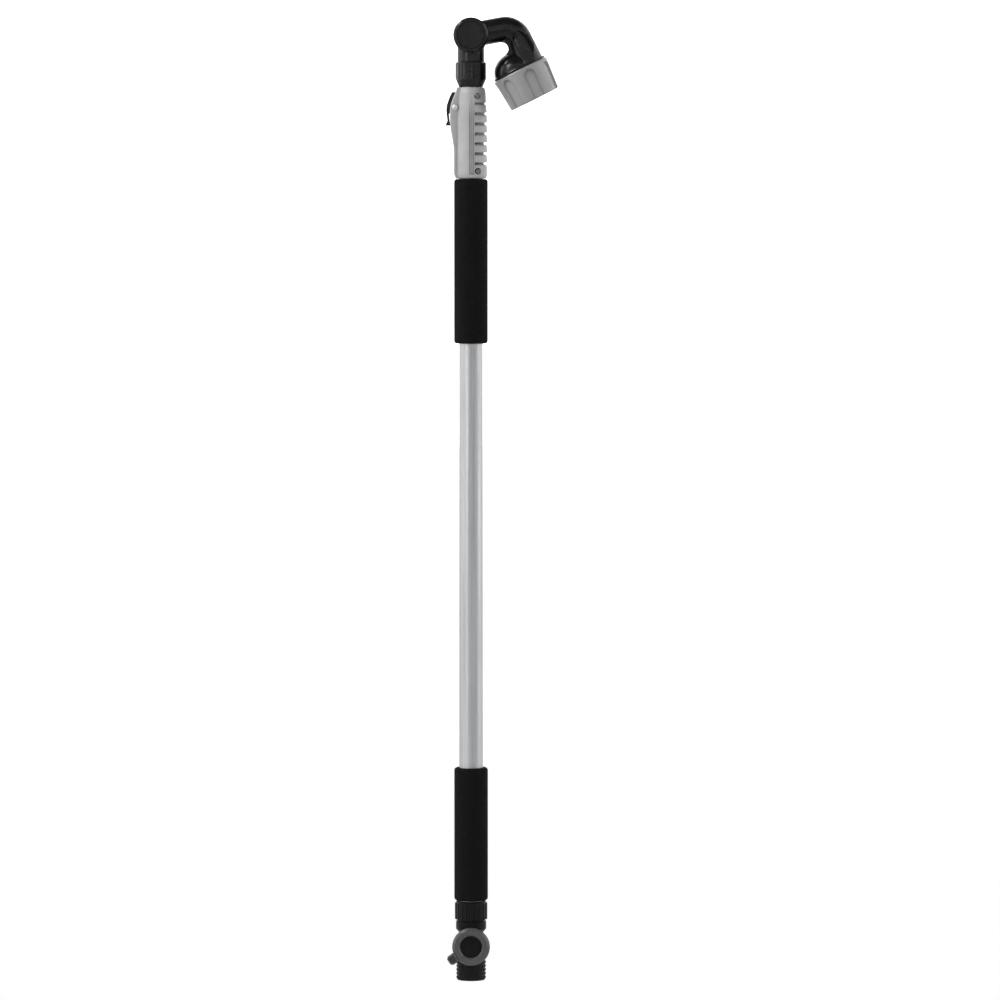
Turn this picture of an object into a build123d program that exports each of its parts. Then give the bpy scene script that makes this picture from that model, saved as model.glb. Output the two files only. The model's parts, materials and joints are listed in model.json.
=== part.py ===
from build123d import *
import math
import os

# Telescopic watering wand: hose swivel and ball valve at the foot, two aluminium tubes with foam grips,
# a rocker lock at the top of the outer tube, and a tilting seven-pattern spray head.
#
# The origin is the centre of the hose inlet's mouth, on the tubes' axis. +Z runs up the wand, +X is the
# side that the spray head reaches out to, and -Y is the front, where the valve dial faces. Millimetres.

# Driving dimensions: the tubes
TUBE_R = 12.5              # outer tube, outside
TUBE_BORE = 11.3           # outer tube, inside
ROD_R = 9.5                # inner tube, outside
ROD_BORE = 8.5             # inner tube, inside
STROKE = 660.0             # how far the inner tube slides out
PISTON_LENGTH = 35.4       # piston at the inner tube's foot
PISTON_STOP = 845.9        # the piston's top with the inner tube fully out
STOP_GAP = 0.3             # left between the piston and the bush there
RUN = 0.05                 # radial running clearance

# Heights up the wand
WASHER_Z = 11.6            # underside of the hose washer
NUT_TOP = 21.5             # top of the hose coupling nut
VALVE_Z = 37.2             # axis of the valve stem
SPIGOT_Z = 62.6            # shoulder under the lower union nut
LOW_NUT_Z = (64.4, 83.6)
TUBE_Z = (67.2, 893.0)
LOW_GRIP_Z = (84.3, 225.0)
HIGH_GRIP_Z = (671.9, 844.4)
HOUSING_Z = (844.8, 940.2)
LOCK_PIN = (-16.3, 919.2)  # lever pivot, x and z
HIGH_NUT_Z = (940.5, 966.6)
ROD_Z = (168.6, 951.0)
PIVOT_Z = 994.6            # tilt axis of the spray head

# Radii seen from outside
HOSE_NUT_R = 14.9
HOSE_BORE = 13.5
DIAL_R = 19.85             # valve dial
UNION_R = 17.1             # lower union nut over its ribs
GRIP_R = 17.85
HIGH_NUT_R = 16.4
NECK_R = 14.3
BARREL_R = 18.4            # tilt barrel
ARM_R = 13.1

# Spray head: a rising arm, a bend and a drop to the pattern dial
HEAD_TILT = 26.5           # degrees between the dial's axis and vertical
ARM_START = (0.3, 994.9)   # the arm's centreline, x and z: its root, its corner and its end
ARM_CORNER = (44.8, 1003.1)
OUTLET_OFFSET = 13.8       # water tube's axis from the dial's axis
DROP = 42.9                # corner of the centreline to the dial's top plane
BEND_R = 16.0
PATTERNS = 7

os.makedirs("parts", exist_ok=True)


# Small helpers ------------------------------------------------------------------------------------

def save(node, shape):
    """Writes one sub-part."""
    export_step(shape, f"parts/{node}.step")


def group(*solids):
    """Separate solids that share one node."""
    return Compound(children=list(solids))


def face(*points, corner=0.0):
    """A flat outline from its points, with every corner rounded by the same radius."""
    outline = make_face(Polyline(*points, close=True))
    return fillet(outline.vertices(), corner) if corner else outline


def turned(*profile, corner=0.0):
    """Turned about Z from (radius, height) points."""
    return revolve(Plane.XZ * face(*profile, corner=corner), Axis.Z)


def rod(radius, low, high):
    """A solid cylinder on Z."""
    return Pos(0, 0, (low + high) / 2) * Cylinder(radius, high - low)


def ring(outer, inner, low, high, corner=0.0):
    """A plain ring on Z."""
    return turned((inner, low), (outer, low), (outer, high), (inner, high), corner=corner)


def o_ring(middle, wire, height):
    return Pos(0, 0, height) * Torus(middle, wire)


def facing_front(shape, x=0.0, z=0.0):
    """Lays a shape made on Z so that its +Z points to the front, on the line through (x, z)."""
    return Pos(x, 0, z) * Rot(90, 0, 0) * shape


def plate(outline, y_low, y_high):
    """An outline drawn in X and Z, thickened from y_low to y_high."""
    return Pos(0, y_high, 0) * extrude(Plane.XZ * outline, y_high - y_low)


def block(x_span, y_span, z_span):
    """A box from its three spans."""
    spans = (x_span, y_span, z_span)
    middle = [(low + high) / 2 for low, high in spans]
    return Pos(*middle) * Box(*[high - low for low, high in spans])


def around(count, start=0.0):
    """Turns about Z that repeat a feature."""
    return [Rot(0, 0, start + 360 * k / count) for k in range(count)]


def coil(radius, wire, low, high, turns):
    """A compression spring on Z."""
    path = Helix((high - low - 2 * wire) / turns, high - low - 2 * wire, radius)
    start = Plane(origin=path @ 0, z_dir=path % 0)
    return Pos(0, 0, low + wire) * sweep(start * Circle(wire), path)


# Hose swivel and ball valve -----------------------------------------------------------------------

def hose_coupling_nut():
    """Swivel nut for a garden hose, with grip bumps on both sides and plain panels front and back."""
    bump_r = 1.6
    rows = [2.9 + 3.95 * k for k in range(5)]
    nut = turned((HOSE_BORE, 0), (HOSE_NUT_R - 0.6, 0), (HOSE_NUT_R, 0.6), (HOSE_NUT_R, NUT_TOP - 0.8),
                 (HOSE_NUT_R - 0.8, NUT_TOP), (10.6, NUT_TOP), (10.6, 18.6), (13.9, 18.6),
                 (13.9, WASHER_Z), (HOSE_BORE, WASHER_Z))
    bumps = []
    for row, height in enumerate(rows):
        shift = 6.5 * (row % 2)
        for side in (0, 180):
            for step in range(-3, 4):
                turn = side + 13 * step + shift
                bumps.append(Rot(0, 0, turn) * Pos(HOSE_NUT_R - 0.75, 0, height) * Sphere(bump_r))
    inside = rod(HOSE_NUT_R - 0.3, -1, NUT_TOP + 1)
    return nut + [bump - inside for bump in bumps]


def hose_washer():
    return ring(13.7, 7.0, WASHER_Z + 0.1, WASHER_Z + 3.0, corner=0.3)


def swivel_snap_ring():
    """Open ring in the groove of the valve's tail, which keeps the hose nut on."""
    return ring(12.9, 9.1, 16.1, 17.9) - block((5, 16), (-3, 3), (15, 19))


def valve_body():
    """Valve body: hose tail, ball chamber, collar and the spigot that the lower union nut screws on."""
    turned_part = turned(
        (6.0, 15.0), (10.4, 15.0), (10.4, 16.0), (9.0, 16.0), (9.0, 18.0), (10.4, 18.0), (10.4, 22.5),
        (13.0, 23.5), (13.0, 50.6), (16.0, 54.2), (16.0, SPIGOT_Z - 0.5), (15.5, SPIGOT_Z), (14.7, SPIGOT_Z),
        (14.7, 76.0), (12.6, 76.0), (12.6, 67.0), (11.0, 67.0), (11.0, 46.9), (6.0, 46.9))
    boss = turned((0, -14.5), (13.5, -14.5), (15.3, -12.7), (15.3, 14.6), (13.7, 16.2), (0, 16.2))
    chamber = rod(10.6, 27.5, 48.0) + rod(6.0, 10.0, 30.0) + rod(11.0, 46.9, 60.0)
    stem_bore = facing_front(rod(4.0 + RUN, 0, 30), z=VALVE_Z)
    return turned_part + facing_front(boss, z=VALVE_Z) - chamber - stem_bore


def ball_seats():
    """Two seats, above and below the ball."""
    ball = Pos(0, 0, VALVE_Z) * Sphere(9.0 + RUN)
    lower = ring(10.5, 6.2, 27.6, 33.0) - ball
    return group(lower, mirror(lower, Plane.XY.offset(VALVE_Z)))


def seat_retainer():
    """Threaded ring that closes the ball chamber, with four notches for a key."""
    body = ring(10.9, 6.2, 46.95, 51.5)
    return body - [turn * block((5, 12), (-1.2, 1.2), (50, 52)) for turn in around(4)]


def valve_ball():
    """Ball, drawn open, with a slot for the stem."""
    slot = block((-1.7, 1.7), (-9.5, -6.6), (VALVE_Z - 4.5, VALVE_Z + 4.5))
    return Pos(0, 0, VALVE_Z) * Sphere(9.0) - rod(5.8, VALVE_Z - 12, VALVE_Z + 12) - slot


def valve_stem():
    """Stem from the ball's slot to the dial, with one groove for its seal."""
    shaft = turned((0, 8.9), (4.0, 8.9), (4.0, 12.0), (2.6, 12.0), (2.6, 13.7), (4.0, 13.7), (4.0, 17.0),
                   (3.0, 17.0), (3.0, 20.0), (0, 20.0))
    tang = block((-1.6, 1.6), (-9.2, -6.7), (VALVE_Z - 3.4, VALVE_Z + 3.4))
    screw_hole = facing_front(rod(1.2, 14.5, 21), z=VALVE_Z)
    return facing_front(shaft, z=VALVE_Z) + tang - screw_hole


def stem_o_ring():
    return facing_front(o_ring(3.33, 0.69, 12.85), z=VALVE_Z)


def valve_dial():
    """Round valve handle: a bevelled ring on a web, with a hollow finger tab at its lower left."""
    tab_turn = 214.0
    hub = turned((3.05, 17.2), (11.0, 17.2), (11.6, 16.8), (17.6, 16.8), (DIAL_R, 18.6), (DIAL_R, 21.4),
                 (17.4, 24.0), (12.6, 24.0), (11.5, 23.0), (11.5, 20.0), (3.05, 20.0))
    finger = face((16.5, -5.6), (26.2, -5.2), (28.3, -3.1), (28.3, 3.1), (26.2, 5.2), (16.5, 5.6))
    tab = Pos(0, 0, 17.6) * extrude(finger, 5.6)
    tab = fillet(tab.edges().filter_by(Axis.Z, reverse=True).group_by(Axis.Z)[-1], 0.9)
    hollow = face((20.6, -3.4), (26.4, -3.0), (26.4, 3.0), (20.6, 3.4), corner=0.8)
    pocket = Pos(0, 0, 20.6) * extrude(hollow, 4)
    ring_space = rod(18.6, 10, 30)
    tab = tab - ring_space - pocket
    return facing_front(hub + Rot(0, 0, tab_turn) * tab, z=VALVE_Z)


def valve_dial_cap():
    """Round cap pressed into the dial over its screw."""
    cap = turned((0, 21.5), (9.0, 21.5), (9.0, 20.2), (10.6, 20.2), (10.6, 21.5), (11.4, 21.5), (11.4, 22.4),
                 (10.9, 22.9), (0, 22.9))
    return facing_front(cap, z=VALVE_Z)


def valve_dial_screw():
    screw = turned((0, 15.0), (1.15, 15.0), (1.15, 20.05), (3.4, 20.05), (3.2, 21.0), (2.2, 21.4), (0, 21.4))
    cross = block((-1.8, 1.8), (-0.35, 0.35), (20.6, 22)) + block((-0.35, 0.35), (-1.8, 1.8), (20.6, 22))
    return facing_front(screw - cross, z=VALVE_Z)


# Lower union and the outer tube -------------------------------------------------------------------

def ribs(count, inner, outer, low, high, width, start=0.0):
    """Upright grip ribs around a nut, rounded outside."""
    rib = Pos(outer - width / 2, 0, (low + high) / 2) * Cylinder(width / 2, high - low)
    return [turn * rib - rod(inner - 0.8, low - 1, high + 1) for turn in around(count, start)]


def lower_union_nut():
    low, high = LOW_NUT_Z
    body_r = UNION_R - 0.6
    nut = turned((14.8, low), (body_r, low), (body_r, high - 1.4), (body_r - 1.2, high),
                 (TUBE_R + 0.15, high), (TUBE_R + 0.15, high - 4.0), (14.8, high - 4.0))
    return nut + ribs(20, body_r, UNION_R, low + 0.01, high - 2.2, 1.7)


def tube_gasket():
    return ring(14.7, TUBE_R + RUN, 76.1, 78.2, corner=0.3)


def tube_clamp_ring():
    """Split ring that the lower union nut closes on the tube."""
    return ring(14.7, TUBE_R + RUN, 78.3, 79.5) - block((8, 16), (-0.8, 0.8), (78, 80))


def outer_tube():
    return ring(TUBE_R, TUBE_BORE, *TUBE_Z) - screw_holes()


def foam_grip(low, high):
    """Foam sleeve, round at both ends."""
    end = 2.6
    lip = TUBE_R + 0.02
    return turned((lip, low + 0.6), (lip + 0.7, low), (GRIP_R - end, low), (GRIP_R - 0.8, low + 0.8),
                  (GRIP_R, low + end), (GRIP_R, high - end), (GRIP_R - 0.8, high - 0.8), (GRIP_R - end, high),
                  (lip + 0.7, high), (lip, high - 0.6))


# Lock ---------------------------------------------------------------------------------------------

LEVER_HALF = 6.8           # half width of the lever
SLOT_HALF = 7.2            # half width of its slot
CHEEK_HALF = 10.0          # half width over the housing's two cheeks
SLOT_Z = (898.4, 936.2)
BUSH_TOP = 936.0
BUSH_R = 13.4
SHOE_Z = (909.0, 923.5)
CAM_DROP = 2.9             # the cam's centre below the lever pin
CAM_R = 3.9
FINGER_SLOTS = [860.5 + 10.42 * k for k in range(7)]
HOUSING_SCREWS = ((7.0, 930.9), (7.5, 852.5))
SCREW_SEAT = 13.7
SLOT_FLOOR = 13.65         # radius that the finger slots are cut to


def housing_nose():
    """The two cheeks at the lever's side, before the slot is cut between them."""
    side = Spline((-15.3, 937.5), (-18.6, 929.0), (-21.3, 921.0), (-22.1, 912.0), (-21.9, 903.0),
                  (-20.8, 893.0), (-19.0, 883.0), (-17.9, 872.0))
    rest = Polyline((-17.9, 872.0), (-17.9, 849.0), (-16.2, 845.6), (0, 845.6), (0, HOUSING_Z[1]),
                    (-14.9, HOUSING_Z[1]), (-15.3, 937.5))
    nose = plate(make_face([side, rest]), -CHEEK_HALF, CHEEK_HALF)
    flanks = nose.faces().filter_by(Axis.Y)
    edges = [edge for flank in flanks for edge in flank.edges() if edge.center().X < -15.0]
    return chamfer(edges, 1.1)


def lock_housing():
    """Grip housing of the lock: bored for the tube, bush and rod, slotted for the lever and the fingers."""
    low, high = HOUSING_Z
    body = turned((0, low), (15.2, low), (16.4, low + 0.8), (17.2, low + 4.2), (17.3, 905.0), (15.7, 934.5),
                  (14.6, high - 0.8), (13.8, high), (0, high))
    body = body + housing_nose()
    body = body - rod(TUBE_R + RUN, low - 1, TUBE_Z[1] + 0.1) - rod(BUSH_R + RUN, TUBE_Z[1], BUSH_TOP + 0.05)
    body = body - rod(12.15, BUSH_TOP, 938.3) - rod(ROD_R + 0.5, 938.0, high + 1)
    body = body - block((-30, -10), (-SLOT_HALF, SLOT_HALF), (907.5, SLOT_Z[1]))
    body = body - block((-30, -18.6), (-SLOT_HALF, SLOT_HALF), (SLOT_Z[0], 908))
    pin_seat = facing_front(rod(3.8, CHEEK_HALF, 20) + rod(3.8, -20, -CHEEK_HALF) + rod(1.65, -20, 20))
    body = body - Pos(LOCK_PIN[0], 0, LOCK_PIN[1]) * pin_seat
    right = block((4.2, 30), (-30, 30), (low, high))
    for height in FINGER_SLOTS:
        floor = SLOT_FLOOR if height + 2 < TUBE_Z[1] else SLOT_FLOOR + 0.9
        notch = turned((floor, height - 0.9), (floor, height + 1.2), (21, height + 1.2), (21, height - 4.0),
                       (17.3, height - 4.0), (16.9, height - 2.7), (16.3, height - 1.7), (15.6, height - 0.9))
        body = body - (notch & right)
    groove_z = (low + 4.2, high + 1)
    body = body - block((-1.5, 3.4), (-20, -16.2), groove_z) - block((0.7, 3.4), (-20, -15.8), groove_z)
    for x, z in HOUSING_SCREWS:
        body = body - facing_front(rod(3.4, SCREW_SEAT, 25), x=x, z=z)
    return body - screw_holes()


def housing_screws():
    """Two cross-head screws that fix the housing to the tube and the bush."""
    screw = turned((0, 7.6), (1.08, 7.6), (1.08, SCREW_SEAT), (3.2, SCREW_SEAT), (3.1, 14.5), (2.2, 15.0),
                   (0, 15.0))
    cross = block((-1.9, 1.9), (-0.4, 0.4), (14.2, 16)) + block((-0.4, 0.4), (-1.9, 1.9), (14.2, 16))
    return group(*[facing_front(screw - cross, x=x, z=z) for x, z in HOUSING_SCREWS])


def screw_holes():
    return [facing_front(rod(1.1, 5, 25), x=x, z=z) for x, z in HOUSING_SCREWS]


def lever_pivot_pin():
    """Rivet through both cheeks, with a domed head at each end."""
    dome = turned((0, CHEEK_HALF), (3.4, CHEEK_HALF), (3.3, CHEEK_HALF + 0.4), (2.4, CHEEK_HALF + 1.05),
                  (1.2, CHEEK_HALF + 1.35), (0, CHEEK_HALF + 1.4))
    shank = rod(1.6, -CHEEK_HALF - 0.1, CHEEK_HALF + 0.1)
    return Pos(LOCK_PIN[0], 0, LOCK_PIN[1]) * Rot(90, 0, 0) * (shank + dome + mirror(dome, Plane.XY))


def lock_lever():
    """Rocker lever: a curved plate with a finger hook at its foot and the cam behind it."""
    skin = face((-15.7, 935.2), (-19.9, 935.3), (-22.9, 928.5), (-25.3, 921.5), (-25.8, 917.0),
                (-25.4, 911.0), (-24.6, 905.5), (-26.4, 901.0), (-26.2, 900.2), (-20.8, 900.2),
                (-20.9, 901.6), (-22.3, 904.5), (-22.9, 911.0), (-22.7, 916.0), (-20.8, 922.5),
                (-18.0, 929.5))
    web = face((-24.0, 921.0), (-16.3, 922.5), (-13.0, 918.0), (-16.3, 912.4), (-23.6, 913.0))
    lever = plate(skin, -LEVER_HALF, LEVER_HALF) + plate(web, -LEVER_HALF, LEVER_HALF)
    x, z = LOCK_PIN
    lever = lever + plate(Pos(x, z) * Circle(3.3), -LEVER_HALF, LEVER_HALF)
    lever = lever + plate(Pos(x, z - CAM_DROP) * Circle(CAM_R), -LEVER_HALF, LEVER_HALF)
    return lever - plate(Pos(x, z) * Circle(1.6 + RUN), -10, 10)


def brake_shoe():
    """Slides in the bush's window and carries the pad."""
    back = LOCK_PIN[0] + CAM_R + 0.2
    shoe = block((back, -6.4), (-6.6, 6.6), SHOE_Z)
    return shoe - rod(ROD_R + 1.15, SHOE_Z[0] - 1, SHOE_Z[1] + 1)


def brake_pad():
    low, high = SHOE_Z[0] + 0.6, SHOE_Z[1] - 0.6
    return ring(ROD_R + 1.15, ROD_R + 0.08, low, high) & block((-12, -6.4), (-6.2, 6.2), (low, high))


def guide_bush():
    """Bush in the mouth of the outer tube: guides the rod, stops the piston and holds the brake shoe."""
    inner = ROD_R + 0.06
    foot = PISTON_STOP + STOP_GAP
    bush = turned((inner, foot), (TUBE_BORE - RUN, foot), (TUBE_BORE - RUN, TUBE_Z[1] + 0.05),
                  (BUSH_R, TUBE_Z[1] + 0.05), (BUSH_R, BUSH_TOP), (inner, BUSH_TOP))
    window = block((-20, -5), (-6.65, 6.65), (SHOE_Z[0] - 0.05, SHOE_Z[1] + 0.05))
    clearance = block((-20, -11.0), (-SLOT_HALF, SLOT_HALF), (SHOE_Z[0] - 1.5, BUSH_TOP + 1))
    return bush - window - clearance - screw_holes()


def wiper_ring():
    return ring(12.1, ROD_R + 0.06, BUSH_TOP + 0.1, 938.2)


# Inner tube and the swivel union ------------------------------------------------------------------

PISTON_Z = (PISTON_STOP - STROKE - PISTON_LENGTH, PISTON_STOP - STROKE)


def inner_tube():
    return ring(ROD_R, ROD_BORE, *ROD_Z)


def piston():
    """Collar on the foot of the inner tube, with two seal grooves; its top is the stop."""
    low, high = PISTON_Z
    out = TUBE_BORE - RUN
    return turned((6.0, low), (out, low), (out, low + 3), (9.7, low + 3), (9.7, low + 5), (out, low + 5),
                  (out, low + 10), (9.7, low + 10), (9.7, low + 12), (out, low + 12), (out, high),
                  (ROD_R + 0.02, high), (ROD_R + 0.02, ROD_Z[0] - 0.1), (6.0, ROD_Z[0] - 0.1))


def piston_o_rings():
    return group(*[o_ring(10.49, 0.78, PISTON_Z[0] + offset) for offset in (4, 11)])


def inner_tube_adapter():
    """Sleeve on the top of the inner tube that the upper union nut screws on."""
    return turned((ROD_R + 0.02, 941.6), (12.0, 941.6), (12.0, 943.8), (13.2, 944.4), (13.2, 957.9),
                  (8.6, 957.9), (8.6, ROD_Z[1] + 0.1), (ROD_R + 0.02, ROD_Z[1] + 0.1))


def upper_union_nut():
    """Ribbed nut that keeps the spray head's neck on the adapter and lets it swivel."""
    low, high = HIGH_NUT_Z
    body_r = HIGH_NUT_R - 0.7
    nut = turned((12.15, low), (12.5, low), (body_r, 948.2), (body_r, high - 0.6), (body_r - 0.6, high),
                 (11.36, high), (11.36, 960.7), (13.3, 960.7), (13.3, 944.2), (12.15, 943.4))
    return nut + ribs(12, body_r, HIGH_NUT_R, 948.7, high - 0.6, 4.6, start=7)


def adapter_o_ring():
    return o_ring(7.94, 0.65, 955.2)


# Neck and tilt joint ------------------------------------------------------------------------------

def barrel(*profile):
    """A turned piece on the tilt axis: each point is (radius, distance to the front)."""
    return facing_front(turned(*profile), z=PIVOT_Z)


def neck_elbow():
    """Neck of the spray head with the rear half of the tilt barrel."""
    tail = turned((6.0, 952.4), (8.55, 952.4), (8.55, 954.4), (7.28, 954.4), (7.28, 956.0), (8.55, 956.0),
                  (8.55, 958.1), (12.4, 958.1), (12.4, 960.4), (11.3, 960.4), (11.3, 966.9),
                  (NECK_R - 0.3, 966.9), (NECK_R, 967.2), (NECK_R, PIVOT_Z), (6.0, PIVOT_Z))
    front_room = barrel((0, -0.15), (BARREL_R + 0.3, -0.15), (BARREL_R + 0.3, 20), (0, 20))
    rear_half = barrel((0, -16.9), (BARREL_R - 2.3, -16.9), (BARREL_R, -14.6), (BARREL_R, -0.15), (0, -0.15))
    column = rod(6.0, 950, PIVOT_Z)
    seat = barrel((0, -12.5), (10.05, -12.5), (10.05, 1), (0, 1))
    screw_way = barrel((0, -18), (5.0, -18), (5.0, -14.6), (1.85, -14.6), (1.85, -10), (0, -10))
    return (tail - front_room) + rear_half - column - seat - screw_way


def pivot_rear_cap():
    return barrel((0, -16.9), (4.95, -16.9), (4.95, -16.2), (0, -16.2))


def pivot_screw():
    screw = barrel((0, -16.0), (4.0, -16.0), (4.0, -14.65), (1.8, -14.65), (1.8, -9.8), (0, -9.8))
    return screw - Pos(0, 15.6, PIVOT_Z) * Rot(90, 0, 0) * extrude(RegularPolygon(1.7, 6), 1.6, both=True)


def pivot_o_rings():
    return group(*[Pos(0, y, PIVOT_Z) * Rot(90, 0, 0) * Torus(9.3, 0.73) for y in (1.8, 10.7)])


def pivot_cap():
    """Plain disc in the recess of the barrel's front."""
    return barrel((0, 14.85), (14.35, 14.85), (14.35, 15.2), (13.9, 15.6), (0, 15.6))


# Spray head ---------------------------------------------------------------------------------------
# Pieces below are drawn on the dial's own axis: z = 0 is the dial's top plane and +z points at the bell.

DOWN = (math.sin(math.radians(HEAD_TILT)), -math.cos(math.radians(HEAD_TILT)))
ARM_END = (ARM_CORNER[0] + DROP * DOWN[0], ARM_CORNER[1] + DROP * DOWN[1])
HEAD_CENTRE = (ARM_END[0] + OUTLET_OFFSET * DOWN[1], ARM_END[1] - OUTLET_OFFSET * DOWN[0])
HEAD = Plane(origin=(HEAD_CENTRE[0], 0, HEAD_CENTRE[1]), x_dir=(-DOWN[1], 0, DOWN[0]),
             z_dir=(-DOWN[0], 0, -DOWN[1]))
WATER_R = 8.5
RIM_Z = (0.4, 2.9)
RIM_R = 29.4
TUBE_TOP = 30.8            # where the water tube's bend begins
PANEL_HALF = 6.4           # half width of the arched panel in each side of the water tube
PANEL_DEPTH = 1.8
DOME_CENTRE = (-5.0, 2.0)
DOME_HALF = (22.6, 19.0)   # its radius and its height
HOLLOW = (-7.7, 28.0)      # centre of the round hollow under the bend
HOLLOW_R = 7.0
BEAD = 0.7                 # raised edge round the arched panel


def head_frame(shape):
    """Moves a shape from the dial's own axis into place."""
    return HEAD * shape


def arm_sweep(radius, start=ARM_START):
    """The arm's round tube from its root, round the bend and down to the bell."""
    down_end = (ARM_CORNER[0] + (DROP - 10) * DOWN[0], ARM_CORNER[1] + (DROP - 10) * DOWN[1])
    path = Plane.XZ * FilletPolyline(start, ARM_CORNER, down_end, radius=BEND_R)
    return sweep(Plane(origin=path @ 0, z_dir=path % 0) * Circle(radius), path)


def lofted(*sections, ruled=False):
    """A loft on the dial's axis through (height, flat outline) pairs."""
    return loft([Pos(0, 0, height) * outline for height, outline in sections], ruled=ruled)


def drop_tube(inset):
    """Lower end of the arm, which widens front to back as it goes down to the rim."""
    tighter = max(inset, 0)
    top = RectangleRounded(26.18, 26.2 - 2 * inset, 13.05 - tighter)
    foot = RectangleRounded(26.18, 41.0 - 2 * inset, 8.5 - tighter)
    solid = lofted((RIM_Z[1] - 1, Pos(OUTLET_OFFSET, 0) * foot),
                   (TUBE_TOP, Pos(OUTLET_OFFSET, 0) * top), ruled=True)
    return solid & rod(27.6 - tighter / 2, 0, 60)


def dome(inset):
    """Low dome under the arm's bend: the upper half of an ellipsoid."""
    radius, height = DOME_HALF
    arc = EllipticalCenterArc((0, 0), radius - inset, height - inset, 0, arc_size=90)
    quarter = make_face([arc, Polyline(arc @ 1, (0, 0), arc @ 0)])
    return Pos(DOME_CENTRE[0], 0, DOME_CENTRE[1]) * revolve(Plane.XZ * quarter, Axis.Z)


def hollow_web():
    """Rounded web that fills the bend's inner corner down to the dome, cut back by a round hollow."""
    x, z = HOLLOW
    side = face((x, 15.0), (6.0, 15.0), (6.0, z + 7.4), (x + 1.9, z + 7.4))
    web = plate(side - Pos(x, z) * Circle(HOLLOW_R), -15, 15)
    return web & (Pos(5.5, 0, 10.0) * extrude(Ellipse(13.6, 8.6), 40))


def arch(half, low, high):
    """Arch-topped outline, drawn in X and Z."""
    outline = Pos(0, (low + high - half) / 2) * Rectangle(2 * half, high - half - low)
    return outline + Pos(0, high - half) * Circle(half)


def head_arm():
    """Arm of the spray head: front of the tilt barrel, bend, water tube, dome and rim in one moulding."""
    front_half = barrel((0, 0.15), (BARREL_R, 0.15), (BARREL_R, 14.8), (16.4, 17.0), (14.5, 17.0),
                        (14.5, 14.8), (0, 14.8))
    rear_room = barrel((0, -20), (BARREL_R + 0.3, -20), (BARREL_R + 0.3, 0.15), (0, 0.15))
    spigot = barrel((0, -12.2), (10.0, -12.2), (10.0, -11.6), (8.55, -11.6), (8.55, -9.85), (10.0, -9.85),
                    (10.0, -2.7), (8.55, -2.7), (8.55, -0.95), (10.0, -0.95), (10.0, 1.0), (0, 1.0))
    rim = rod(27.7, *RIM_Z) + turned((20, RIM_Z[0]), (RIM_R - 0.3, RIM_Z[0]), (RIM_R, 0.9), (RIM_R, 2.3),
                                     (RIM_R - 0.6, RIM_Z[1]), (20, RIM_Z[1]))
    bell = head_frame(drop_tube(0) + dome(0) + hollow_web() + rim)
    room = head_frame((dome(2.4) & rod(25.0, RIM_Z[0] - 1, 16.5)) + rod(25.0, RIM_Z[0] - 1, 2.1))
    bosses = rod(5.2, RIM_Z[0], 17.5) + Pos(OUTLET_OFFSET, 0) * rod(8.4, -0.5, 17.5)
    detent_boss = Pos(-20, 0) * rod(3.6, -0.6, 14.0) & (dome(0.5) + rod(27.0, -1, 3))
    bosses = bosses + detent_boss
    holes = rod(1.85, -1, 13.5) + Pos(OUTLET_OFFSET, 0) * (rod(6.2, -1, 12.1) + rod(4.4, 11, 36))
    holes = holes + Pos(-20, 0) * rod(2.05, -1, 6.0)
    panel = Pos(OUTLET_OFFSET, 0) * arch(PANEL_HALF, 6.0, 37.3)
    bead = Pos(OUTLET_OFFSET, 0) * arch(PANEL_HALF + 0.9, 6.0, 38.2) - panel
    raised = head_frame(plate(bead, -30, 30)) & (head_frame(drop_tube(-BEAD)) + arm_sweep(ARM_R + BEAD))
    arm = (arm_sweep(ARM_R) - rear_room) + front_half + bell + raised
    sunk = head_frame(plate(panel, -30, 30) - drop_tube(PANEL_DEPTH)) - arm_sweep(ARM_R - PANEL_DEPTH)
    arm = arm - sunk - room
    arm = arm + head_frame(bosses) - head_frame(holes)
    water = arm_sweep(WATER_R, (20.3, 998.6)) - head_frame(rod(40, -10, 18))
    centre = Pos(0, -7.5, 0)
    feed = centre * sweep(Plane(origin=(ARM_START[0], 0, PIVOT_Z), z_dir=(44.5, 0, 7.6)) * Circle(5.4),
                          Line((ARM_START[0], 0, PIVOT_Z), (25.0, 0, 999.7)))
    way = barrel((0, -10.0), (7.0, -10.0), (7.0, 13.0), (0, 13.0))
    windows = block((-4.5, 4.5), (3.2, 8.8), (PIVOT_Z - 12, PIVOT_Z + 12))
    windows = windows + block((-12, 12), (3.2, 8.8), (PIVOT_Z - 4.5, PIVOT_Z + 4.5))
    screw_hole = barrel((0, -13), (1.82, -13), (1.82, -9), (0, -9))
    chamber = barrel((0, 0.5), (7.0, 0.5), (7.0, 13.0), (0, 13.0))
    return arm - water - feed + (spigot - way - windows - screw_hole) - chamber


def outlet_seal():
    return head_frame(Pos(OUTLET_OFFSET, 0) * ring(6.15, 3.6, -0.95, 4.6, corner=0.3))


def outlet_spring():
    return head_frame(Pos(OUTLET_OFFSET, 0) * coil(5.0, 0.45, 4.7, 12.0, 3))


def detent_ball():
    """Drawn at the top of its travel, clear of the dial's dimples."""
    return head_frame(Pos(-20, 0, 1.06) * Sphere(2.0))


def detent_spring():
    return head_frame(Pos(-20, 0) * coil(1.5, 0.25, 3.1, 5.95, 3))


def dial_centre_screw():
    """Shoulder screw that the dial turns on."""
    screw = turned((0, -33.4), (4.6, -33.4), (5.0, -33.0), (5.0, -31.0), (3.0, -31.0), (3.0, 0.35),
                   (1.8, 0.35), (1.8, 12.5), (0, 12.5))
    return head_frame(screw - Pos(0, 0, -33.4) * extrude(RegularPolygon(2.2, 6), 1.6))


# Pattern dial -------------------------------------------------------------------------------------

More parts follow.
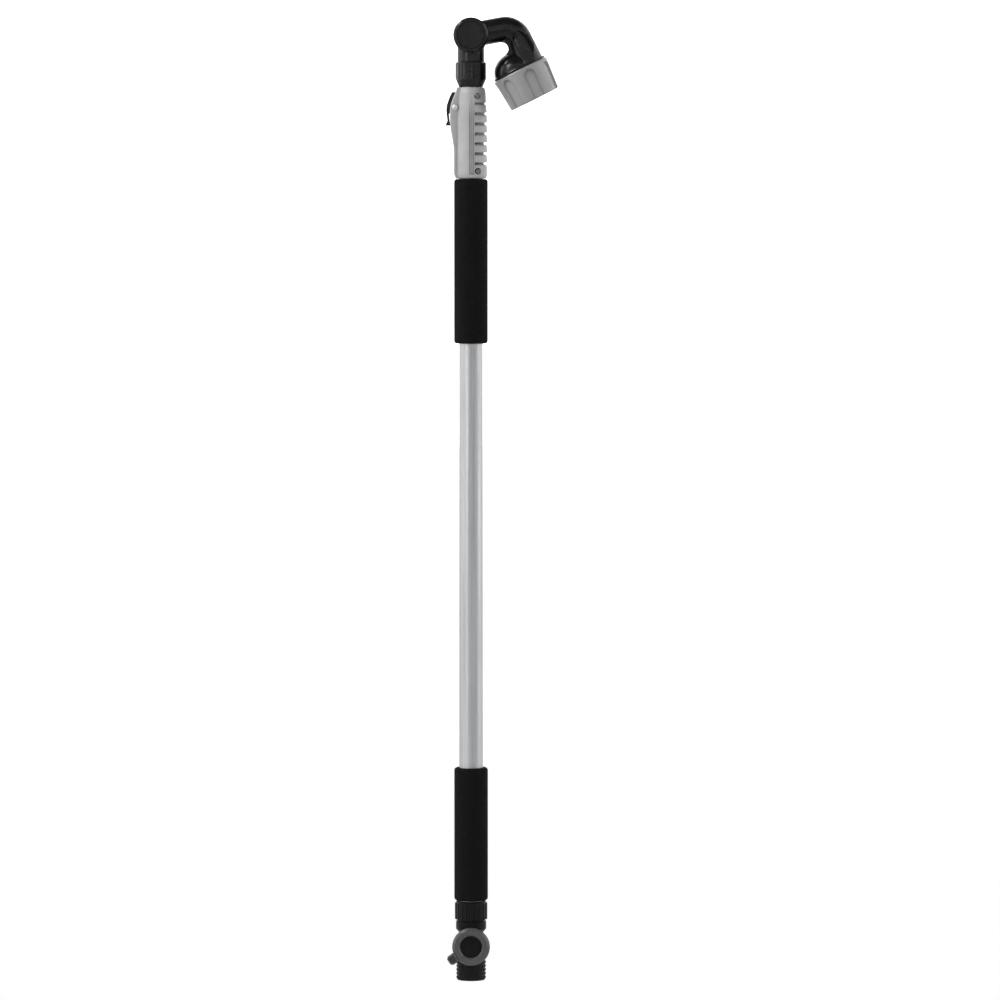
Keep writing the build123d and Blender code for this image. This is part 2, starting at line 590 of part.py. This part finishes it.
DIAL_TOP_R = 30.6
DIAL_FOOT_R = 27.9
DIAL_H = 34.3
BASE_Z = -33.2             # underside between the lobes' tips
PLATE_Z = (-3.4, -1.0)
FACE_Z = (-32.4, -30.0)
FLUTE_HALF = 6.3           # half width of a flute, at half its depth
FLUTE_WALL = 2.0           # how wide a flute's sloping wall is


def dial_flute():
    """Cutter for one of the flutes between two lobes: rounded at its top, with sloping side walls."""
    foot_depth, top_depth = 2.2, 2.6
    slope = (DIAL_TOP_R - top_depth - DIAL_FOOT_R + foot_depth) / DIAL_H
    floor = Plane(origin=(0, top_depth - DIAL_TOP_R, 0), x_dir=(1, 0, 0), z_dir=(0, -1, -slope))
    half = FLUTE_HALF - FLUTE_WALL / 2
    outline = Pos(0, -25) * Rectangle(2 * half, 30) + Pos(0, -10) * Circle(half)
    wall_angle = math.degrees(math.atan2(FLUTE_WALL, top_depth))
    return Rot(0, 0, 90) * extrude(floor * outline, 6.0, taper=-wall_angle)


def pattern_dial():
    """Body of the dial, with seven lobes outside and seven chambers inside."""
    shell = turned((0, 0), (DIAL_TOP_R - 0.9, 0), (DIAL_TOP_R, -0.9), (DIAL_TOP_R - 0.3, -4),
                   (DIAL_FOOT_R, BASE_Z), (DIAL_FOOT_R - 0.8, -DIAL_H), (0, -DIAL_H))
    flute = dial_flute()
    shell = shell - [turn * flute for turn in around(PATTERNS, 180 / PATTERNS)]
    shell = shell - rod(25.6, -40, BASE_Z)
    shell = shell - rod(26.0, PLATE_Z[0], 1) - ring(24.6, 5.45, -40, FACE_Z[1] + 0.6)
    chambers = turned((6.0, -36), (22.6, -36), (24.0, -3), (6.0, -3))
    wall = block((5, 26), (-0.8, 0.8), (FACE_Z[1] + 0.6, PLATE_Z[0]))
    walls = [turn * wall for turn in around(PATTERNS, 180 / PATTERNS)]
    shell = shell - (chambers - walls)
    return head_frame(shell - rod(3.0 + RUN, -40, 1) - rod(5.6, -40, FACE_Z[1] - 0.9))


def dial_back_plate():
    """Cover of the chambers: an inlet hole and a detent dimple for each pattern."""
    low, high = PLATE_Z
    cover = ring(25.95, 3.3, low + 0.02, high)
    for turn in around(PATTERNS):
        cover = cover - turn * Pos(OUTLET_OFFSET, 0) * rod(4.0, low - 1, high + 1)
        cover = cover - turn * Pos(-20, 0, 0.1) * Sphere(2.15)
    return head_frame(cover)


def dial_gasket():
    """Flat seal between the chambers and the spray face."""
    return head_frame(ring(24.5, 5.7, FACE_Z[1] + 0.02, FACE_Z[1] + 0.55))


def spray_holes():
    """The holes of the seven patterns, one pattern a turn."""
    low, high = FACE_Z[0] - 2, FACE_Z[1] + 1
    middle = 16.6

    def dots(radius, count, size):
        turns = [Rot(0, 0, 360 * k / count) for k in range(count)]
        return [Pos(middle, 0) * turn * Pos(radius, 0) * rod(size, low, high) for turn in turns]

    jet = dots(0, 1, 2.0)
    shower = dots(4.6, 12, 0.55) + dots(2.6, 7, 0.55) + dots(0, 1, 0.55)
    mist = dots(3.2, 3, 0.45)
    flat = [Pos(middle, 0) * block((-0.6, 0.6), (-5.0, 5.0), (low, high))]
    cone = dots(4.2, 10, 0.8)
    soaker = dots(3.0, 4, 1.5)
    centre = dots(3.4, 8, 0.7) + dots(0, 1, 1.1)
    patterns = (jet, shower, mist, flat, cone, soaker, centre)
    return [turn * hole for turn, holes in zip(around(PATTERNS), patterns) for hole in holes]


def dial_face():
    """Spray face with seven patterns of holes and a raised rim."""
    low, high = FACE_Z
    disc = turned((5.55, high), (5.55, low - 0.6), (7.0, low - 0.6), (7.6, low), (23.0, low),
                  (23.6, low - 0.6), (24.5, low - 0.6), (24.5, high))
    return head_frame(disc - spray_holes())


PIECES = {
    "hose_coupling_nut": hose_coupling_nut,
    "hose_washer": hose_washer,
    "swivel_snap_ring": swivel_snap_ring,
    "valve_body": valve_body,
    "ball_seats": ball_seats,
    "seat_retainer": seat_retainer,
    "valve_ball": valve_ball,
    "valve_stem": valve_stem,
    "stem_o_ring": stem_o_ring,
    "valve_dial": valve_dial,
    "valve_dial_cap": valve_dial_cap,
    "valve_dial_screw": valve_dial_screw,
    "lower_union_nut": lower_union_nut,
    "tube_gasket": tube_gasket,
    "tube_clamp_ring": tube_clamp_ring,
    "outer_tube": outer_tube,
    "lower_foam_grip": lambda: foam_grip(*LOW_GRIP_Z),
    "upper_foam_grip": lambda: foam_grip(*HIGH_GRIP_Z),
    "lock_housing": lock_housing,
    "housing_screws": housing_screws,
    "lever_pivot_pin": lever_pivot_pin,
    "lock_lever": lock_lever,
    "brake_shoe": brake_shoe,
    "brake_pad": brake_pad,
    "guide_bush": guide_bush,
    "wiper_ring": wiper_ring,
    "inner_tube": inner_tube,
    "piston": piston,
    "piston_o_rings": piston_o_rings,
    "inner_tube_adapter": inner_tube_adapter,
    "upper_union_nut": upper_union_nut,
    "adapter_o_ring": adapter_o_ring,
    "neck_elbow": neck_elbow,
    "pivot_rear_cap": pivot_rear_cap,
    "pivot_screw": pivot_screw,
    "pivot_o_rings": pivot_o_rings,
    "pivot_cap": pivot_cap,
    "head_arm": head_arm,
    "outlet_seal": outlet_seal,
    "outlet_spring": outlet_spring,
    "detent_ball": detent_ball,
    "detent_spring": detent_spring,
    "dial_centre_screw": dial_centre_screw,
    "pattern_dial": pattern_dial,
    "dial_back_plate": dial_back_plate,
    "dial_gasket": dial_gasket,
    "dial_face": dial_face,
}

if __name__ == "__main__":
    for node, make in PIECES.items():
        save(node, make())
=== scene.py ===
"""Blender scene of the telescopic watering wand: materials, foam grips, floor, light and camera."""
import json
import math

import bmesh
import bpy
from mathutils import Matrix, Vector


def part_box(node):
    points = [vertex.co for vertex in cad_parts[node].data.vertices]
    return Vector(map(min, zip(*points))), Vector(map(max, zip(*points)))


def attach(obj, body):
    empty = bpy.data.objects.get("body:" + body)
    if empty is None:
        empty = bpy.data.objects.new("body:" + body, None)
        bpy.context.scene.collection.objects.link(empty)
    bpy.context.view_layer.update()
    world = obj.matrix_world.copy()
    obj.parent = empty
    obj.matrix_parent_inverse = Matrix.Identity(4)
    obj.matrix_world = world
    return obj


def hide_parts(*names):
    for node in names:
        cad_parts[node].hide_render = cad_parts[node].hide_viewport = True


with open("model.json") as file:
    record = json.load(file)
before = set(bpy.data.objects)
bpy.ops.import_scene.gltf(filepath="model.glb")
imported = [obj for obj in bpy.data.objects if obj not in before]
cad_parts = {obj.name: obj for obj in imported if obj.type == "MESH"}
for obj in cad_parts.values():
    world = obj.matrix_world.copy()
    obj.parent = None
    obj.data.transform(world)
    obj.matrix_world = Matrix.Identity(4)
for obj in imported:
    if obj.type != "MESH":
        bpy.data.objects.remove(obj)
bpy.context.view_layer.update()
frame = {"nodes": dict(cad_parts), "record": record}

# Camera and stage, in metres
VIEW_WIDTH = 1.052         # what the image's width covers at the wand
CAMERA_DISTANCE = 6.0
CAMERA_ELEVATION = math.radians(3.0)
LOOK_AT = Vector((0.0305, 0.0, 0.5072))
SENSOR = 36.0
STAGE_GLOW = 1.0           # the stage behind the wand
FRONT_GLOW = 0.28          # and in front of it, so that its dark parts stay dark
GLOW_FADE = (-4.0, -0.5)   # the stretch of Y over which it goes from one to the other
STAGE_R = 16.0
COVE_R = 3.0
COVE_STEPS = 12
WORLD_STRENGTH = 0.22

# Foam grips, in metres
TUBE_CLEARANCE_R = 0.01253  # the sleeve's bore, just over the tube's radius
SKIN_GAP = 0.0001          # how far the sleeve stays inside the CAD one
END_GAP = 0.0006           # the same at the bore's two ends
END_ROUND = 0.0030
END_STEPS = 8
SLEEVE_STEPS = 60


# Small helpers ------------------------------------------------------------------------------------

def link(obj):
    bpy.context.scene.collection.objects.link(obj)
    return obj


def turned_rings(bm, profile, steps):
    """One ring of vertices about Z for each (radius, height) point."""
    turn = [2 * math.pi * k / steps for k in range(steps)]
    return [[bm.verts.new((r * math.cos(a), r * math.sin(a), z)) for a in turn] for r, z in profile]


def join_rings(bm, lower, upper):
    for k in range(len(lower)):
        after = (k + 1) % len(lower)
        bm.faces.new((lower[k], lower[after], upper[after], upper[k]))


def smooth_object(name, bm):
    mesh = bpy.data.meshes.new(name)
    bm.to_mesh(mesh)
    bm.free()
    for polygon in mesh.polygons:
        polygon.use_smooth = True
    return link(bpy.data.objects.new(name, mesh))


def lathe(name, profile, steps=96):
    """Closed mesh turned about Z from (radius, height) points."""
    bm = bmesh.new()
    rings = turned_rings(bm, profile, steps)
    for lower, upper in zip(rings, rings[1:] + rings[:1]):
        join_rings(bm, lower, upper)
    bmesh.ops.recalc_face_normals(bm, faces=bm.faces)
    return smooth_object(name, bm)


# Materials ----------------------------------------------------------------------------------------

PAINTED_SHADE_REACH = 0.005      # a hollow narrower than this gets painted shade, in metres


class Surface:
    """A procedural material: Principled BSDF with noise in its colour, roughness and bump, and painted
    shade in hollows where asked.
    """

    def __init__(self, name, roughness, metallic=0.0, specular=0.5):
        self.material = bpy.data.materials.new(name)
        self.material.use_nodes = True
        self.nodes = self.material.node_tree.nodes
        self.links = self.material.node_tree.links
        self.shader = self.nodes["Principled BSDF"]
        self.shader.inputs["Roughness"].default_value = roughness
        self.shader.inputs["Metallic"].default_value = metallic
        self.shader.inputs["Specular IOR Level"].default_value = specular
        self.place = self.nodes.new("ShaderNodeTexCoord").outputs["Object"]

    def noise(self, scale, detail=2.0, stretch=(1.0, 1.0, 1.0)):
        """Noise in the object's own metres; stretch above 1 makes it finer along that axis."""
        mapping = self.nodes.new("ShaderNodeMapping")
        mapping.inputs["Scale"].default_value = stretch
        self.links.new(self.place, mapping.inputs["Vector"])
        noise = self.nodes.new("ShaderNodeTexNoise")
        noise.inputs["Scale"].default_value = scale
        noise.inputs["Detail"].default_value = detail
        self.links.new(mapping.outputs["Vector"], noise.inputs["Vector"])
        return noise.outputs["Fac"]

    def colour(self, source, dark, light, low=0.35, high=0.65):
        ramp = self.nodes.new("ShaderNodeValToRGB")
        first, last = ramp.color_ramp.elements
        first.position, first.color = low, (*dark, 1.0)
        last.position, last.color = high, (*light, 1.0)
        self.links.new(source, ramp.inputs["Fac"])
        self.links.new(ramp.outputs["Color"], self.shader.inputs["Base Color"])
        return self

    def paint_crevice_shade(self, reach, shade):
        """Paints shade into the colour in slots and inner corners that are narrower than reach: an
        ambient-occlusion node darkens the base colour there.
        """
        hollow = self.nodes.new("ShaderNodeAmbientOcclusion")
        hollow.samples = 8
        hollow.inputs["Distance"].default_value = reach
        span = self.nodes.new("ShaderNodeMapRange")
        span.inputs["From Min"].default_value = 0.35
        span.inputs["From Max"].default_value = 0.95
        span.inputs["To Min"].default_value = shade
        span.inputs["To Max"].default_value = 1.0
        # painted shade: the occlusion value multiplies the base colour down in hollows
        mix = self.nodes.new("ShaderNodeMix")
        mix.data_type = "RGBA"
        mix.blend_type = "MULTIPLY"
        mix.inputs["Factor"].default_value = 1.0
        plain = self.shader.inputs["Base Color"].links[0].from_socket
        self.links.new(hollow.outputs["AO"], span.inputs["Value"])
        self.links.new(plain, mix.inputs["A"])
        self.links.new(span.outputs["Result"], mix.inputs["B"])
        self.links.new(mix.outputs["Result"], self.shader.inputs["Base Color"])
        return self

    def roughen(self, source, low, high):
        span = self.nodes.new("ShaderNodeMapRange")
        span.inputs["From Min"].default_value = 0.3
        span.inputs["From Max"].default_value = 0.7
        span.inputs["To Min"].default_value = low
        span.inputs["To Max"].default_value = high
        self.links.new(source, span.inputs["Value"])
        self.links.new(span.outputs["Result"], self.shader.inputs["Roughness"])
        return self

    def bump(self, source, strength, depth):
        bump = self.nodes.new("ShaderNodeBump")
        bump.inputs["Strength"].default_value = strength
        bump.inputs["Distance"].default_value = depth
        self.links.new(source, bump.inputs["Height"])
        self.links.new(bump.outputs["Normal"], self.shader.inputs["Normal"])
        return self


def grey(value):
    return (value, value, value)


def plastic(name, dark, light, roughness, depth=0.00006, specular=0.5, crevice_shade=1.0):
    """Moulded plastic: faint mottling, a fine grain and, where the crevice argument is under 1, painted
    shade that darkens its hollows.
    """
    surface = Surface(name, roughness, specular=specular)
    surface.colour(surface.noise(60.0, 3.0), dark, light)
    # painted shade in hollows, laid into the colour
    if crevice_shade < 1.0:
        surface.paint_crevice_shade(PAINTED_SHADE_REACH, crevice_shade)
    surface.roughen(surface.noise(140.0, 2.0), roughness - 0.05, roughness + 0.06)
    return surface.bump(surface.noise(900.0, 2.0), 0.35, depth).material


def aluminium(name, dark, light, roughness):
    """Anodised tube: fine lengthwise drawing lines."""
    surface = Surface(name, roughness, metallic=1.0)
    lines = surface.noise(600.0, 2.0, stretch=(1.0, 1.0, 0.01))
    surface.colour(lines, dark, light)
    surface.roughen(surface.noise(90.0, 2.0, stretch=(1.0, 1.0, 0.1)), roughness - 0.04, roughness + 0.05)
    return surface.bump(lines, 0.12, 0.00003).material


def foam(name, dark, light):
    """Closed-cell foam: matt, with fine pores."""
    surface = Surface(name, 0.9, specular=0.06)
    surface.colour(surface.noise(700.0, 3.0), dark, light)
    return surface.bump(surface.noise(1100.0, 4.0), 0.6, 0.00025).material


def steel(name, dark=0.36, light=0.46, roughness=0.25):
    surface = Surface(name, roughness, metallic=1.0)
    surface.colour(surface.noise(500.0, 2.0), grey(dark), grey(light))
    return surface.roughen(surface.noise(300.0, 2.0), roughness - 0.07, roughness + 0.07).material


LOOKS = {
    "anodised_aluminium": aluminium(
        "anodised_aluminium", (0.305, 0.31, 0.315), (0.36, 0.365, 0.37), 0.43),
    "bare_aluminium": aluminium("bare_aluminium", (0.60, 0.60, 0.61), (0.70, 0.70, 0.71), 0.28),
    "foam": foam("foam", grey(0.0028), grey(0.0055)),
    # these three plastics carry painted shade in their slots, flutes and hollows
    "grey_plastic": plastic("grey_plastic", grey(0.235), grey(0.265), 0.42, crevice_shade=0.14),
    "dark_grey_plastic": plastic(
        "dark_grey_plastic", grey(0.038), grey(0.046), 0.36, specular=0.35, crevice_shade=0.4),
    "dial_grey_plastic": plastic("dial_grey_plastic", grey(0.175), grey(0.205), 0.34, crevice_shade=0.12),
    "black_plastic": plastic(
        "black_plastic", grey(0.002), grey(0.004), 0.24, depth=0.00001, specular=0.22),
    "black_matte_plastic": plastic(
        "black_matte_plastic", grey(0.002), grey(0.004), 0.36, specular=0.08),
    "nylon": plastic("nylon", (0.62, 0.61, 0.57), (0.70, 0.69, 0.65), 0.5),
    "ptfe": plastic("ptfe", (0.80, 0.80, 0.78), (0.86, 0.86, 0.84), 0.35),
    "seal_rubber": plastic("seal_rubber", grey(0.010), grey(0.016), 0.7),
    "steel": steel("steel"),
}
SATIN_BLACK = plastic(
    "satin_black_plastic", grey(0.002), grey(0.004), 0.38, depth=0.00003, specular=0.10)
NODE_LOOKS = {
    "housing_screws": steel("oxide_steel", 0.10, 0.16),
    "lever_pivot_pin": steel("satin_steel", 0.42, 0.52, roughness=0.42),
    "hose_coupling_nut": SATIN_BLACK,
    "lower_union_nut": SATIN_BLACK,
}


def paint_cad():
    """Gives every CAD node the look of its material slot, or its own where it has one."""
    for subpart in frame["record"]["subparts"]:
        obj = frame["nodes"][subpart["node"]]
        look = NODE_LOOKS.get(subpart["node"], LOOKS[subpart["material_slot"]])
        if not obj.material_slots:
            obj.data.materials.append(look)
        for material_slot in obj.material_slots:
            material_slot.material = look


# Foam grips ---------------------------------------------------------------------------------------

def foam_sleeve(name, node):
    """Foam sleeve with rounded ends in place of the plain CAD one."""
    low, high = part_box(node)
    outer = (high[0] - low[0]) / 2 - SKIN_GAP
    shoulder = outer - END_ROUND
    foot = low[2] + END_ROUND
    top = high[2] - END_ROUND
    arc = [math.pi / 2 * k / END_STEPS for k in range(END_STEPS + 1)]
    profile = [(TUBE_CLEARANCE_R, low[2] + END_GAP)]
    for a in arc:
        profile.append((shoulder + END_ROUND * math.sin(a), foot - END_ROUND * math.cos(a)))
    for k in range(1, SLEEVE_STEPS):
        profile.append((outer, foot + (top - foot) * k / SLEEVE_STEPS))
    for a in arc:
        profile.append((shoulder + END_ROUND * math.cos(a), top + END_ROUND * math.sin(a)))
    profile.append((TUBE_CLEARANCE_R, high[2] - END_GAP))
    sleeve = lathe(name, profile)
    sleeve.data.materials.append(LOOKS["foam"])
    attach(sleeve, "pole")
    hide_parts(node)


# Stage, light and camera --------------------------------------------------------------------------

def make_stage():
    """Round pale floor that runs up all round into a wall. It glows more behind the wand than in front."""
    profile = [(STAGE_R - COVE_R, 0.0)]
    for k in range(1, COVE_STEPS + 1):
        a = math.pi / 2 * k / COVE_STEPS
        profile.append((STAGE_R - COVE_R + COVE_R * math.sin(a), COVE_R - COVE_R * math.cos(a)))
    profile.append((STAGE_R, STAGE_R))
    bm = bmesh.new()
    rings = turned_rings(bm, profile, 96)
    bm.faces.new(rings[0])
    for lower, upper in zip(rings, rings[1:]):
        join_rings(bm, lower, upper)
    floor = smooth_object("stage_floor", bm)
    surface = Surface("stage_white", 0.9, specular=0.1)
    surface.colour(surface.noise(3.0), grey(0.90), grey(0.91))
    surface.shader.inputs["Emission Color"].default_value = (1.0, 1.0, 1.0, 1.0)
    split = surface.nodes.new("ShaderNodeSeparateXYZ")
    glow = surface.nodes.new("ShaderNodeMapRange")
    glow.inputs["From Min"].default_value = GLOW_FADE[0]
    glow.inputs["From Max"].default_value = GLOW_FADE[1]
    glow.inputs["To Min"].default_value = FRONT_GLOW
    glow.inputs["To Max"].default_value = STAGE_GLOW
    surface.links.new(surface.place, split.inputs["Vector"])
    surface.links.new(split.outputs["Y"], glow.inputs["Value"])
    surface.links.new(glow.outputs["Result"], surface.shader.inputs["Emission Strength"])
    floor.data.materials.append(surface.material)


def area_light(name, place, aim, size, power):
    data = bpy.data.lights.new(name, "AREA")
    data.shape = "RECTANGLE"
    data.size, data.size_y = size
    data.energy = power
    lamp = link(bpy.data.objects.new(name, data))
    lamp.location = place
    lamp.rotation_euler = (Vector(aim) - Vector(place)).to_track_quat("-Z", "Y").to_euler()


def make_light():
    """Dim white surroundings, a soft box and a small rim box at the upper left, and upright strips."""
    world = bpy.data.worlds.new("studio")
    world.use_nodes = True
    world.node_tree.nodes["Background"].inputs["Color"].default_value = (1.0, 1.0, 1.0, 1.0)
    world.node_tree.nodes["Background"].inputs["Strength"].default_value = WORLD_STRENGTH
    bpy.context.scene.world = world
    area_light("key_box", (-2.0, -1.9, 2.7), (0, 0, 0.7), (0.9, 0.9), 44)
    area_light("left_strip", (-2.0, -2.3, 0.9), (0, 0, 0.6), (0.26, 2.4), 22)
    area_light("edge_strip", (-2.3, -0.3, 0.9), (0, 0, 0.6), (0.30, 2.4), 8)
    area_light("right_strip", (2.3, -0.2, 0.9), (0, 0, 0.6), (0.35, 2.4), 11)
    area_light("rim_box", (-1.5, 0.1, 2.6), (0, 0, 0.9), (0.5, 0.5), 22)


def make_camera():
    data = bpy.data.cameras.new("photo_camera")
    data.sensor_width = SENSOR
    data.lens = SENSOR * CAMERA_DISTANCE / VIEW_WIDTH
    data.clip_end = 100.0
    camera = link(bpy.data.objects.new("photo_camera", data))
    back = Vector((0, -math.cos(CAMERA_ELEVATION), math.sin(CAMERA_ELEVATION)))
    camera.location = LOOK_AT + CAMERA_DISTANCE * back
    camera.rotation_euler = (-back).to_track_quat("-Z", "Y").to_euler()
    bpy.context.scene.camera = camera


make_camera()
paint_cad()
foam_sleeve("upper_foam_sleeve", "upper_foam_grip")
foam_sleeve("lower_foam_sleeve", "lower_foam_grip")
make_stage()
make_light()
bpy.context.scene.view_settings.view_transform = "Standard"
